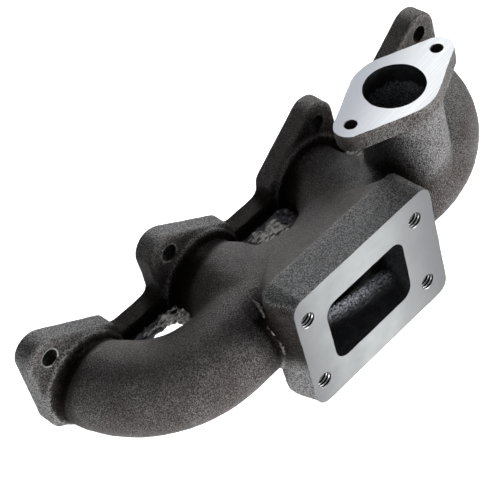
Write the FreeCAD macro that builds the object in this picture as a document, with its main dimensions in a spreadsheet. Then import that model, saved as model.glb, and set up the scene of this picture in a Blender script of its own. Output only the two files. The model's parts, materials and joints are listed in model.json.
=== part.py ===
"""Four-cylinder turbo exhaust manifold, one iron casting, modelled in millimetres.

X runs along the engine from port 1 to port 4, Y points into the cylinder head and Z is up.
The origin is on the head face, midway between ports 2 and 3, on the line of the port centres.
"""
import FreeCAD, Part
import math
import os

import Sketcher

Vector = FreeCAD.Vector
Rotation = FreeCAD.Rotation

NODE = "manifold_casting"
PORTS = 4

# Driving dimensions, in millimetres and degrees
SIZES = {
    "port_pitch": 88.0,
    "wall": 5.0,
    # Head flange: four slanted pads on one strap
    "flange_thick": 12.5,
    "pad_side_margin": 3.0,
    "pad_slope_margin": 3.3,
    "pad_slope": 33.0,
    "ear_round": 12.0,
    "shoulder_round": 9.0,
    "strap_high": 12.0,
    "strap_blend": 5.0,
    "flange_edge": 1.4,
    # Stud holes, two a pad, on a diagonal
    "stud_side": 15.0,
    "stud_rise": 31.0,
    "stud_bore": 10.0,
    "stud_rim": 0.6,
    # Log, bends and branches
    "log_out": 64.0,
    "log_radius": 25.5,
    "first_run": 10.0,
    "last_run": 4.0,
    "branch_step": 1.0,
    "branch_blend": 12.0,
    # Raised lip round each runner at its pad
    "lip_wide": 2.6,
    "lip_high": 2.5,
    # Thin webs left on the parting line, one in each window between runners
    "web_thick": 3.0,
    "web_sink": 3.5,
    "web_reach_1": 9.5,
    "web_reach_2": 25.0,
    "web_reach_3": 14.0,
    # Turbine flange block on the front of the log
    "turbine_face": 104.0,
    "turbine_side": -5.5,
    "turbine_pitch_long": 84.0,
    "turbine_pitch_short": 49.0,
    "turbine_thread": 8.5,
    "turbine_thread_deep": 18.0,
    "thread_rim": 0.5,
    "mouth_half_wide": 30.0,
    "mouth_half_high": 21.5,
    "mouth_round": 8.0,
    "block_left_margin": 8.0,
    "block_right_margin": 14.0,
    "block_high_margin": 16.0,
    "block_round": 8.0,
    "block_deep": 23.0,
    "collector_root": 56.0,
    "collector_drop": 1.5,
    "collector_taper": 20.0,
    # Wastegate branch, straight up from the log
    "gate_side": 76.0,
    "gate_face": 71.0,
    "gate_pitch": 70.0,
    "gate_bore": 35.0,
    "gate_land": 7.5,
    "gate_end_round": 9.5,
    "gate_thick": 11.0,
    "gate_thread": 6.8,
    "neck_wall": 6.5,
}


class Term:
    """A length, as the formula that binds it to the sheet and as its present number."""

    def __init__(self, text, number):
        self.text = text
        self.number = number

    def _with(self, other, sign, number):
        text = other.text if isinstance(other, Term) else repr(float(other))
        return Term("(%s %s %s)" % (self.text, sign, text), number)

    def __add__(self, other):
        return self._with(other, "+", self.number + value(other))

    def __sub__(self, other):
        return self._with(other, "-", self.number - value(other))

    def __mul__(self, other):
        return self._with(other, "*", self.number * value(other))

    def __truediv__(self, other):
        return self._with(other, "/", self.number / value(other))

    def __neg__(self):
        return Term("(-%s)" % self.text, -self.number)


def value(term):
    """The number of a term or of a plain number."""
    return term.number if isinstance(term, Term) else float(term)


def size(word):
    """The term of one driving dimension."""
    return Term("Sizes." + word, SIZES[word])


def fixed(number):
    """A term that no dimension drives."""
    return Term(repr(float(number)), float(number))


SLOPE = math.radians(SIZES["pad_slope"])
SLOPE_SIN = Term("sin(Sizes.pad_slope * 1 deg)", math.sin(SLOPE))
SLOPE_COS = Term("cos(Sizes.pad_slope * 1 deg)", math.cos(SLOPE))
ZERO = fixed(0.0)
# Radii that follow from the sizes above
BRANCH_RADIUS = size("log_radius") - size("branch_step")
PAD_HALF_WIDTH = size("log_radius") + size("pad_side_margin")
NECK_RADIUS = size("gate_bore") / 2 + size("neck_wall")
# Cutting tools start this far outside the metal
CLEAR = fixed(2.0)
# Length of a drill point over the drill's radius
POINT_LENGTH = 0.6
# Places nearer than this are the same place
NEAR = 0.01
# The seam where a branch meets the log spans more than this both along X and along Z
SEAM_SPAN = 10.0

ROUND = "Part::Fillet"
BEVEL = "Part::Chamfer"

UP = Vector(0, 0, 1)
OUTWARD = Rotation(Vector(1, 0, 0), 90)
INWARD = Rotation(Vector(1, 0, 0), -90)
ALONG = Rotation(Vector(0, 1, 0), 90)
UPWARD = Rotation()
DOWNWARD = Rotation(Vector(1, 0, 0), 180)


def make_sheet(doc):
    """Write the driving dimensions into the sheet, one named cell each."""
    sheet = doc.addObject("Spreadsheet::Sheet", "Sizes")
    for row, (word, number) in enumerate(SIZES.items(), start=1):
        sheet.set("A%d" % row, word)
        sheet.set("B%d" % row, str(number))
        sheet.setAlias("B%d" % row, word)
    doc.recompute()


def bind(item, **terms):
    """Bind each named property of an object to its term."""
    for name, term in terms.items():
        item.setExpression(name, term.text)


def place(item, rotation, x, y, z):
    """Turn an object and bind the place of its origin."""
    item.Placement = FreeCAD.Placement(Vector(x.number, y.number, z.number), rotation)
    item.setExpression("Placement.Base.x", x.text)
    item.setExpression("Placement.Base.y", y.text)
    item.setExpression("Placement.Base.z", z.text)
    return item


def cylinder(doc, name, radius, length, rotation, x, y, z):
    """A cylinder whose axis leaves its base point along the turned Z."""
    item = doc.addObject("Part::Cylinder", name)
    bind(item, Radius=radius, Height=length)
    return place(item, rotation, x, y, z)


def cone(doc, name, near, far, length, rotation, x, y, z):
    """A cone from its near radius to its far radius along the turned Z."""
    item = doc.addObject("Part::Cone", name)
    bind(item, Radius1=near, Radius2=far, Height=length)
    return place(item, rotation, x, y, z)


def fuse(doc, name, shapes):
    """One solid out of several."""
    item = doc.addObject("Part::MultiFuse", name)
    item.Shapes = shapes
    item.Refine = True
    doc.recompute()
    return item


def cut(doc, name, base, tool):
    """The base with the tool taken out of it."""
    item = doc.addObject("Part::Cut", name)
    item.Base = base
    item.Tool = tool
    doc.recompute()
    return item


def soften(doc, kind, name, base, wanted, radius):
    """Round or bevel the edges of a shape that pass a test."""
    item = doc.addObject(kind, name)
    item.Base = base
    edges = [k for k, edge in enumerate(base.Shape.Edges, start=1) if wanted(edge)]
    item.Edges = [(k, radius.number, radius.number) for k in edges]
    doc.recompute()
    return item


def port_side(number):
    """A port's place along the engine, counted from 1."""
    return size("port_pitch") * (number - (PORTS + 1) / 2)


def port_hand(number):
    """Ports 1 and 2 carry their upper stud on the left, ports 3 and 4 on the right."""
    return -1 if number <= PORTS / 2 else 1


# Sketches and the bodies made from them

def new_sketch(body, name, role, rise):
    """A sketch on an origin plane of the body, moved out along the plane's normal."""
    sketch = body.newObject("Sketcher::SketchObject", name)
    plane = next(item for item in body.Origin.OriginFeatures if item.Role == role)
    sketch.AttachmentSupport = (plane, [""])
    sketch.MapMode = "FlatFace"
    sketch.setExpression("AttachmentOffset.Base.z", rise.text)
    return sketch


def dimension(sketch, term, kind, *where):
    """Add a dimension to a sketch and bind it."""
    index = sketch.addConstraint(Sketcher.Constraint(kind, *where, term.number))
    sketch.setExpression("Constraints[%d]" % index, term.text)


def hold_point(sketch, geometry, end, x, y):
    """Bind a point of a sketch to its place from the sketch's origin."""
    dimension(sketch, x, "DistanceX", -1, 1, geometry, end)
    dimension(sketch, y, "DistanceY", -1, 1, geometry, end)


def polygon(sketch, corners):
    """A closed outline through corners, each a pair of terms."""
    count = len(corners)
    for k in range(count):
        (x0, y0), (x1, y1) = corners[k], corners[(k + 1) % count]
        sketch.addGeometry(Part.LineSegment(Vector(x0.number, y0.number, 0),
                                            Vector(x1.number, y1.number, 0)))
    for k in range(count):
        sketch.addConstraint(Sketcher.Constraint("Coincident", k, 2, (k + 1) % count, 1))
    for k, (x, y) in enumerate(corners):
        hold_point(sketch, k, 1, x, y)


def rounded_outline(sketch, rounds):
    """Arcs joined by tangent lines, as a belt lies round pulleys, anticlockwise.

    Each round is its centre's two terms and its radius.
    """
    count = len(rounds)
    headings = []
    for k in range(count):
        (x0, y0, r0), (x1, y1, r1) = rounds[k], rounds[(k + 1) % count]
        across = Vector(x1.number - x0.number, y1.number - y0.number, 0)
        lean = math.asin((r0.number - r1.number) / across.Length)
        headings.append(math.atan2(across.y, across.x) - math.pi / 2 + lean)
    for k, (x, y, radius) in enumerate(rounds):
        centre = Vector(x.number, y.number, 0)
        begin, end = headings[k - 1], headings[k]
        while end < begin:
            end += 2 * math.pi
        circle = Part.Circle(centre, Vector(0, 0, 1), radius.number)
        sketch.addGeometry(Part.ArcOfCircle(circle, begin, end))
        x1, y1, next_radius = rounds[(k + 1) % count]
        reach = Vector(math.cos(headings[k]), math.sin(headings[k]), 0)
        next_centre = Vector(x1.number, y1.number, 0)
        sketch.addGeometry(Part.LineSegment(centre + reach * radius.number,
                                            next_centre + reach * next_radius.number))
    for k in range(2 * count):
        sketch.addConstraint(Sketcher.Constraint("Tangent", k, 2, (k + 1) % (2 * count), 1))
    for k, (x, y, radius) in enumerate(rounds):
        dimension(sketch, radius, "Radius", 2 * k)
        hold_point(sketch, 2 * k, 3, x, y)


def box_rounds(left, right, low, high, corner):
    """The four rounds of a rectangle with round corners."""
    return [(right - corner, low + corner, corner), (right - corner, high - corner, corner),
            (left + corner, high - corner, corner), (left + corner, low + corner, corner)]


def pad(body, sketch, name, length):
    """Thicken a sketch along its own normal."""
    item = body.newObject("PartDesign::Pad", name)
    item.Profile = sketch
    bind(item, Length=length)
    return item


def port_pad(doc, number):
    """The pad of one port: a slanted block with an ear round each stud."""
    hand = port_hand(number)
    middle = port_side(number)
    half = PAD_HALF_WIDTH
    reach = size("log_radius") + size("pad_slope_margin")
    high = (reach + half * SLOPE_SIN) / SLOPE_COS
    low = (reach - half * SLOPE_SIN) / SLOPE_COS
    ear_side = middle + half * hand
    far_side = middle - half * hand
    body = doc.addObject("PartDesign::Body", "PortPad%d" % number)
    sketch = new_sketch(body, "PadOutline%d" % number, "XZ_Plane", ZERO)
    polygon(sketch, [(ear_side, high), (far_side, low), (far_side, -high), (ear_side, -low)])
    block = pad(body, sketch, "PadBlock%d" % number, size("flange_thick"))
    doc.recompute()

    def upright_corners(shape, above):
        names = []
        for k, edge in enumerate(shape.Edges, start=1):
            if not isinstance(edge.Curve, Part.Line) or edge.BoundBox.ZLength > NEAR:
                continue
            if (abs(edge.CenterOfMass.z) > (high.number + low.number) / 2) == above:
                names.append("Edge%d" % k)
        return names

    ears = body.newObject("PartDesign::Fillet", "PadEars%d" % number)
    ears.Base = (block, upright_corners(block.Shape, True))
    bind(ears, Radius=size("ear_round"))
    doc.recompute()
    shoulders = body.newObject("PartDesign::Fillet", "PadShoulders%d" % number)
    ends = [name for name in upright_corners(ears.Shape, False)
            if abs(ears.Shape.getElement(name).CenterOfMass.z) > low.number - NEAR]
    shoulders.Base = (ears, ends)
    bind(shoulders, Radius=size("shoulder_round"))
    doc.recompute()
    return body


def box(doc, name, length, width, height, x, y, z):
    """A plain block from its lowest corner."""
    item = doc.addObject("Part::Box", name)
    bind(item, Length=length, Width=width, Height=height)
    return place(item, UPWARD, x, y, z)


def head_flange(doc):
    """The four port pads and the strap that ties them, with the front edges rounded."""
    thick, high = size("flange_thick"), size("strap_high")
    strap = box(doc, "Strap", size("port_pitch") * (PORTS - 1), thick, high,
                port_side(1), -thick, -high / 2)
    pads = [port_pad(doc, number) for number in range(1, PORTS + 1)]
    flange = fuse(doc, "PadsAndStrap", pads + [strap])

    def is_inside_corner(edge):
        at = edge.CenterOfMass
        upright = edge.BoundBox.XLength < NEAR and edge.BoundBox.YLength > thick.number / 2
        return upright and abs(abs(at.z) - high.number / 2) < NEAR

    def is_front(edge):
        return abs(edge.BoundBox.YMin + thick.number) < NEAR and edge.BoundBox.YLength < NEAR

    flange = soften(doc, ROUND, "StrapBlends", flange, is_inside_corner, size("strap_blend"))
    return soften(doc, BEVEL, "FlangeEdges", flange, is_front, size("flange_edge"))


def parting_webs(doc):
    """Thin webs in front of the strap, from runner to runner."""
    root = size("log_radius") - size("web_sink")
    webs = []
    for number in range(1, PORTS):
        reach = size("web_reach_%d" % number)
        webs.append(box(doc, "Web%d" % number, size("port_pitch") - root * 2,
                        reach + size("flange_edge"), size("web_thick"),
                        port_side(number) + root, -size("flange_thick") - reach,
                        -size("strap_high") / 2 + size("flange_edge")))
    return webs


# Runner tubes, for the outside and again for the bore

def ring(doc, name, radius, section, rotation, x, y, z):
    """A ring round the turned Z."""
    item = doc.addObject("Part::Torus", name)
    bind(item, Radius1=radius, Radius2=section)
    return place(item, rotation, x, y, z)


def runner_tubes(doc, prefix, log_radius, branch_radius, start):
    """The log, the quarter bends at its ends and the four runs to the ports."""
    first_bend = size("log_out") - size("first_run")
    last_bend = size("log_out") - size("last_run")
    first_turn = port_side(1) + first_bend
    last_turn = port_side(PORTS) - last_bend
    tubes = [cylinder(doc, prefix + "Log", log_radius, last_turn - first_turn, ALONG,
                      first_turn, -size("log_out"), ZERO)]
    for number, turn, bend, run, heading in (
            (1, first_turn, first_bend, size("first_run"), 180),
            (PORTS, last_turn, last_bend, size("last_run"), 270)):
        quarter = ring(doc, "%sBend%d" % (prefix, number), bend, log_radius,
                       Rotation(UP, heading), turn, -run, ZERO)
        quarter.Angle3 = 90
        tubes += [quarter, cylinder(doc, "%sRun%d" % (prefix, number), log_radius, run - start,
                                    OUTWARD, port_side(number), -start, ZERO)]
    for number in range(2, PORTS):
        tubes.append(cylinder(doc, "%sRun%d" % (prefix, number), branch_radius,
                              size("log_out") - start, OUTWARD,
                              port_side(number), -start, ZERO))
    return tubes


def outer_runners(doc):
    """The outside of the runners, with the middle branches blended into the log."""
    tubes = fuse(doc, "OuterTubes",
                 runner_tubes(doc, "Outer", size("log_radius"), BRANCH_RADIUS, ZERO))

    def is_branch_seam(edge):
        span = edge.BoundBox
        return span.XLength > SEAM_SPAN and span.ZLength > SEAM_SPAN \
            and abs(span.Center.x) < port_side(PORTS - 1).number + BRANCH_RADIUS.number

    return soften(doc, ROUND, "BranchBlends", tubes, is_branch_seam, size("branch_blend"))


def turbine_block(doc):
    """The turbine flange block and the collector that tapers from its back into the log."""
    side = size("turbine_side")
    left = side - size("turbine_pitch_long") / 2 - size("block_left_margin")
    right = side + size("turbine_pitch_long") / 2 + size("block_right_margin")
    half = size("turbine_pitch_short") / 2 + size("block_high_margin")
    back = size("turbine_face") - size("block_deep")
    body = doc.addObject("PartDesign::Body", "TurbineBlock")
    outline = new_sketch(body, "BlockOutline", "XZ_Plane", back)
    rounded_outline(outline, box_rounds(left, right, -half, half, size("block_round")))
    pad(body, outline, "BlockPad", size("block_deep"))
    doc.recompute()
    taper = size("collector_taper")
    collector = doc.addObject("PartDesign::Body", "Collector")
    near = new_sketch(collector, "CollectorFront", "XZ_Plane", back)
    rounded_outline(near, box_rounds(left, right, -half, half, size("block_round")))
    far = new_sketch(collector, "CollectorBack", "XZ_Plane", size("collector_root"))
    low = size("log_radius") - size("collector_drop")
    rounded_outline(far, box_rounds(left + taper, right - taper, -low, low, size("block_round")))
    loft = collector.newObject("PartDesign::AdditiveLoft", "CollectorLoft")
    loft.Profile = near
    loft.Sections = [far]
    loft.Ruled = True
    doc.recompute()
    return [body, collector]


def gate_flange(doc):
    """The two-bolt wastegate flange: a round middle with a smaller round at each bolt."""
    body = doc.addObject("PartDesign::Body", "GateFlange")
    sketch = new_sketch(body, "GateOutline", "XY_Plane", size("gate_face") - size("gate_thick"))
    side, out = size("gate_side"), -size("log_out")
    half = size("gate_pitch") / 2
    end = size("gate_end_round")
    middle = size("gate_bore") / 2 + size("gate_land")
    # The middle round is met twice on the way round, once on each side
    rounded_outline(sketch, [(side, out, middle), (side + half, out, end),
                             (side, out, middle), (side - half, out, end)])
    pad(body, sketch, "GatePad", size("gate_thick"))
    doc.recompute()
    return body


def gate_neck(doc):
    """The upright neck of the wastegate branch."""
    return cylinder(doc, "GateNeck", NECK_RADIUS, size("gate_face"), UPWARD,
                    size("gate_side"), -size("log_out"), ZERO)


def gas_passage(doc):
    """Everything the gas runs through: runners, turbine mouth and wastegate bore."""
    wall = size("wall")
    tubes = runner_tubes(doc, "Bore", size("log_radius") - wall, BRANCH_RADIUS - wall, -CLEAR)
    mouth = doc.addObject("PartDesign::Body", "TurbineMouth")
    side = size("turbine_side")
    wide, high = size("mouth_half_wide"), size("mouth_half_high")
    corner = size("mouth_round")
    front = new_sketch(mouth, "MouthFront", "XZ_Plane", size("turbine_face") + CLEAR)
    rounded_outline(front, box_rounds(side - wide, side + wide, -high, high, corner))
    back = new_sketch(mouth, "MouthBack", "XZ_Plane", size("log_out"))
    low = size("log_radius") - wall
    rounded_outline(back, box_rounds(side - wide, side + wide, -low, low, corner))
    loft = mouth.newObject("PartDesign::AdditiveLoft", "MouthLoft")
    loft.Profile = front
    loft.Sections = [back]
    loft.Ruled = True
    doc.recompute()
    gate = cylinder(doc, "GateBore", size("gate_bore") / 2, size("gate_face") + CLEAR, UPWARD,
                    size("gate_side"), -size("log_out"), ZERO)
    return fuse(doc, "GasPassage", tubes + [mouth, gate])


def tapped_hole(doc, name, radius, deep, turn, x, y, z, step):
    """Drill tools for one tapped hole: its countersunk rim, the bore and the drill point.

    The step is the pair of signs that leads into the metal along Y and Z.
    """
    rim = size("thread_rim")
    along, rise = step
    return [cone(doc, name + "Rim", radius + rim, radius, rim, turn, x, y, z),
            cylinder(doc, name + "Bore", radius, deep, turn, x, y, z),
            cone(doc, name + "Point", radius, ZERO, radius * POINT_LENGTH, turn,
                 x, y + deep * along, z + deep * rise)]


def drilling(doc):
    """Every drilled hole: studs at the ports, tapped holes at the turbine and the gate."""
    tools = []
    thick = size("flange_thick")
    bore, rim = size("stud_bore") / 2, size("stud_rim")
    for number in range(1, PORTS + 1):
        for high in (-1, 1):
            name = "Stud%d%s" % (number, "Upper" if high > 0 else "Lower")
            x = port_side(number) + size("stud_side") * (port_hand(number) * high)
            z = size("stud_rise") * high
            tools += [cylinder(doc, name, bore, thick + CLEAR * 2, OUTWARD, x, CLEAR, z),
                      cone(doc, name + "Rim", bore + rim, bore, rim, INWARD, x, -thick, z)]
    for side in (-1, 1):
        for high in (-1, 1):
            name = "TurbineHole%s%s" % ("Left" if side < 0 else "Right",
                                        "Upper" if high > 0 else "Lower")
            tools += tapped_hole(doc, name, size("turbine_thread") / 2,
                                 size("turbine_thread_deep"), INWARD,
                                 size("turbine_side") + size("turbine_pitch_long") / 2 * side,
                                 -size("turbine_face"),
                                 size("turbine_pitch_short") / 2 * high, (1, 0))
        tools += tapped_hole(doc, "GateHole%s" % ("Left" if side < 0 else "Right"),
                             size("gate_thread") / 2, size("gate_thick"), DOWNWARD,
                             size("gate_side") + size("gate_pitch") / 2 * side,
                             -size("log_out"), size("gate_face"), (0, -1))
    return fuse(doc, "Drilling", tools)


def port_lips(doc):
    """The raised lip round the root of each runner."""
    radius, high = size("log_radius") + size("lip_wide"), size("lip_high")
    return [cone(doc, "Lip%d" % number, radius, radius - high / 2, high, OUTWARD,
                 port_side(number), -size("flange_thick"), ZERO)
            for number in range(1, PORTS + 1)]


def casting(doc):
    """The whole manifold as one solid."""
    limbs = [outer_runners(doc), gate_neck(doc), gate_flange(doc)] + turbine_block(doc)
    outside = fuse(doc, "Outside", limbs + [head_flange(doc)] + parting_webs(doc)
                   + port_lips(doc))
    hollow = cut(doc, "Hollow", outside, gas_passage(doc))
    return cut(doc, "Finished", hollow, drilling(doc))


def check(doc, solid):
    """Stop if any object of the document or the finished solid is unsound."""
    for item in doc.Objects:
        bad = [word for word in item.State if word in ("Invalid", "Error")]
        if bad:
            raise RuntimeError("%s is %s" % (item.Name, bad))
    if solid.Shape.isNull() or not solid.Shape.isValid() or len(solid.Shape.Solids) != 1:
        raise RuntimeError("%s is not one sound solid" % solid.Name)


def main():
    """Build the casting, check it and write it."""
    doc = FreeCAD.newDocument("TurboManifold")
    make_sheet(doc)
    solid = casting(doc)
    solid.Label = NODE
    doc.recompute()
    check(doc, solid)
    os.makedirs("parts", exist_ok=True)
    solid.Shape.exportStep("parts/%s.step" % solid.Label)
    print(NODE, "faces", len(solid.Shape.Faces), "volume", round(solid.Shape.Volume))


main()
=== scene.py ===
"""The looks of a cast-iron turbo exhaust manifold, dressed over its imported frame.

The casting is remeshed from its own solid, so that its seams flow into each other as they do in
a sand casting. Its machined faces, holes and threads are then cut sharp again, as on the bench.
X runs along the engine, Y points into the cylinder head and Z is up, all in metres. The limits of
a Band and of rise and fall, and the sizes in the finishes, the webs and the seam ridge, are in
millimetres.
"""
import json
import logging
import math
from collections.abc import Callable, Iterator
from contextlib import contextmanager
from dataclasses import dataclass, field
from enum import IntEnum
from functools import partial

import bpy
import numpy as np
from mathutils import Matrix, Vector

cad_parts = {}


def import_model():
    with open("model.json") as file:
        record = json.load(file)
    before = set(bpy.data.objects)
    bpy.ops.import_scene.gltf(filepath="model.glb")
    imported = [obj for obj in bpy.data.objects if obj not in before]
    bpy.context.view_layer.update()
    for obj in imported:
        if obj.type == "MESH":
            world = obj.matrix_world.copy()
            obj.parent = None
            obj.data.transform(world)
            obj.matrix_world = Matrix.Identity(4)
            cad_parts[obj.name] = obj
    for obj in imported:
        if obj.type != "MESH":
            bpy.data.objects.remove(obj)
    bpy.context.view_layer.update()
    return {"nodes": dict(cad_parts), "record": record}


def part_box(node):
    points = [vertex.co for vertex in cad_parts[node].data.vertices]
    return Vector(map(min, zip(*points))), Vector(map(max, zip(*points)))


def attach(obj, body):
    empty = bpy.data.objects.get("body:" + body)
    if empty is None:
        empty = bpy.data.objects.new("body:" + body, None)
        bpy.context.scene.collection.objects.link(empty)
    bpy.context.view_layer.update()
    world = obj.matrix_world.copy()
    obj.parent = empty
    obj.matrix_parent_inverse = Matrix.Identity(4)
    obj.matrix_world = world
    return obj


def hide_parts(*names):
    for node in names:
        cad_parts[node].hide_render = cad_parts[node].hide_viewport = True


Piece = bpy.types.Object
Socket = bpy.types.NodeSocket
Adder = Callable[..., Socket]
Rows = np.ndarray
Pairs = tuple[tuple[float, float], ...]
Triple = tuple[float, float, float]
LOG = logging.getLogger("manifold")
MM = 0.001
NODE = "manifold_casting"
BODY = "root"
# The inputs of a mix node, its two numbers and its two colours, and what makes it mix colours.
NUMBER_A, NUMBER_B, COLOUR_A, COLOUR_B = 2, 3, 6, 7
COLOURS = {"output": 2, "data_type": "RGBA"}
# What the skin tells its finish, one share a vertex: worn edges, coarse grain, painted light on
# the faces that face the lamps, and painted shade.
SKIN_MARKS = ("arris", "coarse", "painted_light", "painted_shade")
# How much a countersink widens for its depth.
RIM_SLOPE = 2.2
# How near to a machined plane a face has to lie to be a part of it.
FLAT = 0.01 * MM


class Finish(IntEnum):
    """Which finish a face of the casting takes. The value is its place among the materials."""

    SAND_CAST = 0
    MILLED = 1
    GROUND = 2
    PASSAGE = 3
    DRILLED = 4
    TORN = 5
    BURNT = 6
    SCRAPED = 7
    SOOTED = 8


# Small tools for colours, nodes and objects

def linear(code: str) -> tuple[float, float, float, float]:
    """Turn an sRGB hex colour to the linear values that a shader takes.

    Args:
        code: the colour, such as "#8a8583".

    Returns:
        Red, green, blue and an alpha of 1.
    """
    channels = [int(code[k:k + 2], 16) / 255 for k in (1, 3, 5)]
    return (*[c / 12.92 if c <= 0.04045 else ((c + 0.055) / 1.055) ** 2.4 for c in channels], 1.0)


def add_node(tree: bpy.types.NodeTree, kind: str, inputs: dict[str | int, object] | None = None,
             output: str | int = 0, stops: list[tuple[float, str]] | None = None,
             **settings: object) -> Socket | None:
    """Add a node with its settings and links.

    Args:
        tree: the node tree that takes it.
        kind: the node's type name after "ShaderNode".
        inputs: each input's value, or the output socket that feeds it.
        output: which output is given back.
        stops: the places and hex colours of a colour ramp, in rising order.
        settings: properties of the node.

    Returns:
        The output socket, or None from a node without one.
    """
    node = tree.nodes.new("ShaderNode" + kind)
    for name, setting in settings.items():
        setattr(node, name, setting)
    for key, source in (inputs or {}).items():
        if isinstance(source, Socket):
            tree.links.new(source, node.inputs[key])
        else:
            node.inputs[key].default_value = source
    if stops:
        elements = node.color_ramp.elements
        while len(elements) < len(stops):
            elements.new(0.5)
        for element, (place, code) in zip(elements, stops):
            element.position = place
            element.color = linear(code)
    return node.outputs[output] if node.outputs else None


def new_material(name: str) -> tuple[bpy.types.Material, Adder]:
    """Make a node material with no nodes in it.

    Args:
        name: the finish's name.

    Returns:
        The material, and add_node for its tree.
    """
    material = bpy.data.materials.new(name)
    material.use_nodes = True
    material.node_tree.nodes.clear()
    return material, partial(add_node, material.node_tree)


def alone(piece: Piece) -> None:
    """Make one object the only one selected, and the active one.

    Args:
        piece: the object.
    """
    bpy.ops.object.select_all(action="DESELECT")
    piece.select_set(True)
    bpy.context.view_layer.objects.active = piece


@contextmanager
def editing(piece: Piece) -> Iterator[None]:
    """Open a piece's mesh with all of it selected, and close it after the block.

    Args:
        piece: the mesh object.
    """
    alone(piece)
    bpy.ops.object.mode_set(mode="EDIT")
    bpy.ops.mesh.select_all(action="SELECT")
    yield
    bpy.ops.object.mode_set(mode="OBJECT")


def primitive(kind: str, **settings: object) -> Piece:
    """Add a primitive shape, with its place and turn laid into its mesh.

    Args:
        kind: the shape's name.
        settings: its sizes, place and turn.

    Returns:
        The new object.
    """
    getattr(bpy.ops.mesh, f"primitive_{kind}_add")(**settings)
    bpy.ops.object.transform_apply(location=True, rotation=True, scale=True)
    return bpy.context.active_object


def apply_modifier(piece: Piece, kind: str, **settings: object) -> None:
    """Add a modifier to a piece and apply it.

    Args:
        piece: the mesh object.
        kind: the modifier's type name.
        settings: the modifier's properties.
    """
    alone(piece)
    modifier = piece.modifiers.new(kind.title(), kind)
    for name, setting in settings.items():
        setattr(modifier, name, setting)
    bpy.ops.object.modifier_apply(modifier=modifier.name)


def draw_skin(piece: Piece, voxel: float) -> None:
    """Draw one even skin over a piece's shells, in steps of a voxel."""
    apply_modifier(piece, "REMESH", mode="VOXEL", voxel_size=voxel, use_smooth_shade=True)


def roughen(piece: Piece, waves: Pairs, depth: int, middle: float = 0.5) -> None:
    """Push a piece's surface out and in by soft waves.

    Args:
        piece: the mesh object.
        waves: each wave's size and height in millimetres.
        depth: how many finer octaves ride on each wave.
        middle: the noise value that leaves the surface in its place.
    """
    for size, height in waves:
        cloud = bpy.data.textures.new("waves", "CLOUDS")
        cloud.noise_scale = size * MM
        cloud.noise_depth = depth
        apply_modifier(piece, "DISPLACE", texture=cloud, texture_coords="LOCAL",
                       strength=height * MM, mid_level=middle)


def join(pieces: list[Piece], name: str) -> Piece:
    """Join objects into the first of them.

    Args:
        pieces: the objects, two or more.
        name: the joined object's name.

    Returns:
        The joined object.
    """
    alone(pieces[0])
    for piece in pieces:
        piece.select_set(True)
    bpy.ops.object.join()
    pieces[0].name = name
    return pieces[0]


def rows_of(items: bpy.types.bpy_prop_collection, name: str) -> Rows:
    """Read a vector from each of a mesh's vertices or faces.

    Args:
        items: the vertices or faces.
        name: which of their vectors is read.

    Returns:
        One row for each item.
    """
    flat = np.empty(len(items) * 3, np.float32)
    items.foreach_get(name, flat)
    return flat.reshape(-1, 3)


def points_of(piece: Piece) -> Rows:
    """The places of a mesh's vertices, one row each."""
    return rows_of(piece.data.vertices, "co").astype(float)


def set_points(piece: Piece, points: Rows) -> None:
    """Put a mesh's vertices at new places."""
    piece.data.vertices.foreach_set("co", points.astype(np.float32).ravel())
    piece.data.update()


def ease(low: float, high: float, at: Rows) -> Rows:
    """Rise smoothly from 0 at low to 1 at high."""
    t = np.clip((at - low) / (high - low), 0, 1)
    return t * t * (3 - 2 * t)


def rise(low: float, high: float, at: Rows) -> Rows:
    """Rise smoothly from 0 to 1 between two places in millimetres."""
    return ease(low * MM, high * MM, at)


def fall(low: float, high: float, at: Rows) -> Rows:
    """Fall smoothly from 1 to 0 between two places in millimetres."""
    return 1 - rise(low, high, at)


@dataclass(frozen=True)
class Band:
    """A stretch with soft ends: it rises from start to full and falls from last to end."""

    start: float
    full: float
    last: float
    end: float

    def share(self, at: Rows) -> Rows:
        """How much each place belongs to the stretch, from 0 to 1."""
        return rise(self.start, self.full, at) * fall(self.last, self.end, at)


# Finishes

@dataclass(frozen=True)
class Iron:
    """What the finishes of the iron share: a name and one surface shader."""

    name: str = "iron"

    def surface(self, add: Adder, place: Socket) -> dict[str, object]:
        """Draw the finish's own pattern.

        Args:
            add: adds a node to the material.
            place: the place on the object, in its own coordinates.

        Returns:
            The surface shader's values, and the sockets that feed it.
        """
        raise NotImplementedError

    def material(self) -> bpy.types.Material:
        """Build the material.

        Returns:
            The material, under the finish's name.
        """
        material, add = new_material(self.name)
        place = add("TexCoord", output="Object")
        shader = add("BsdfPrincipled", self.surface(add, place))
        add("OutputMaterial", {"Surface": shader})
        return material


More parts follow.
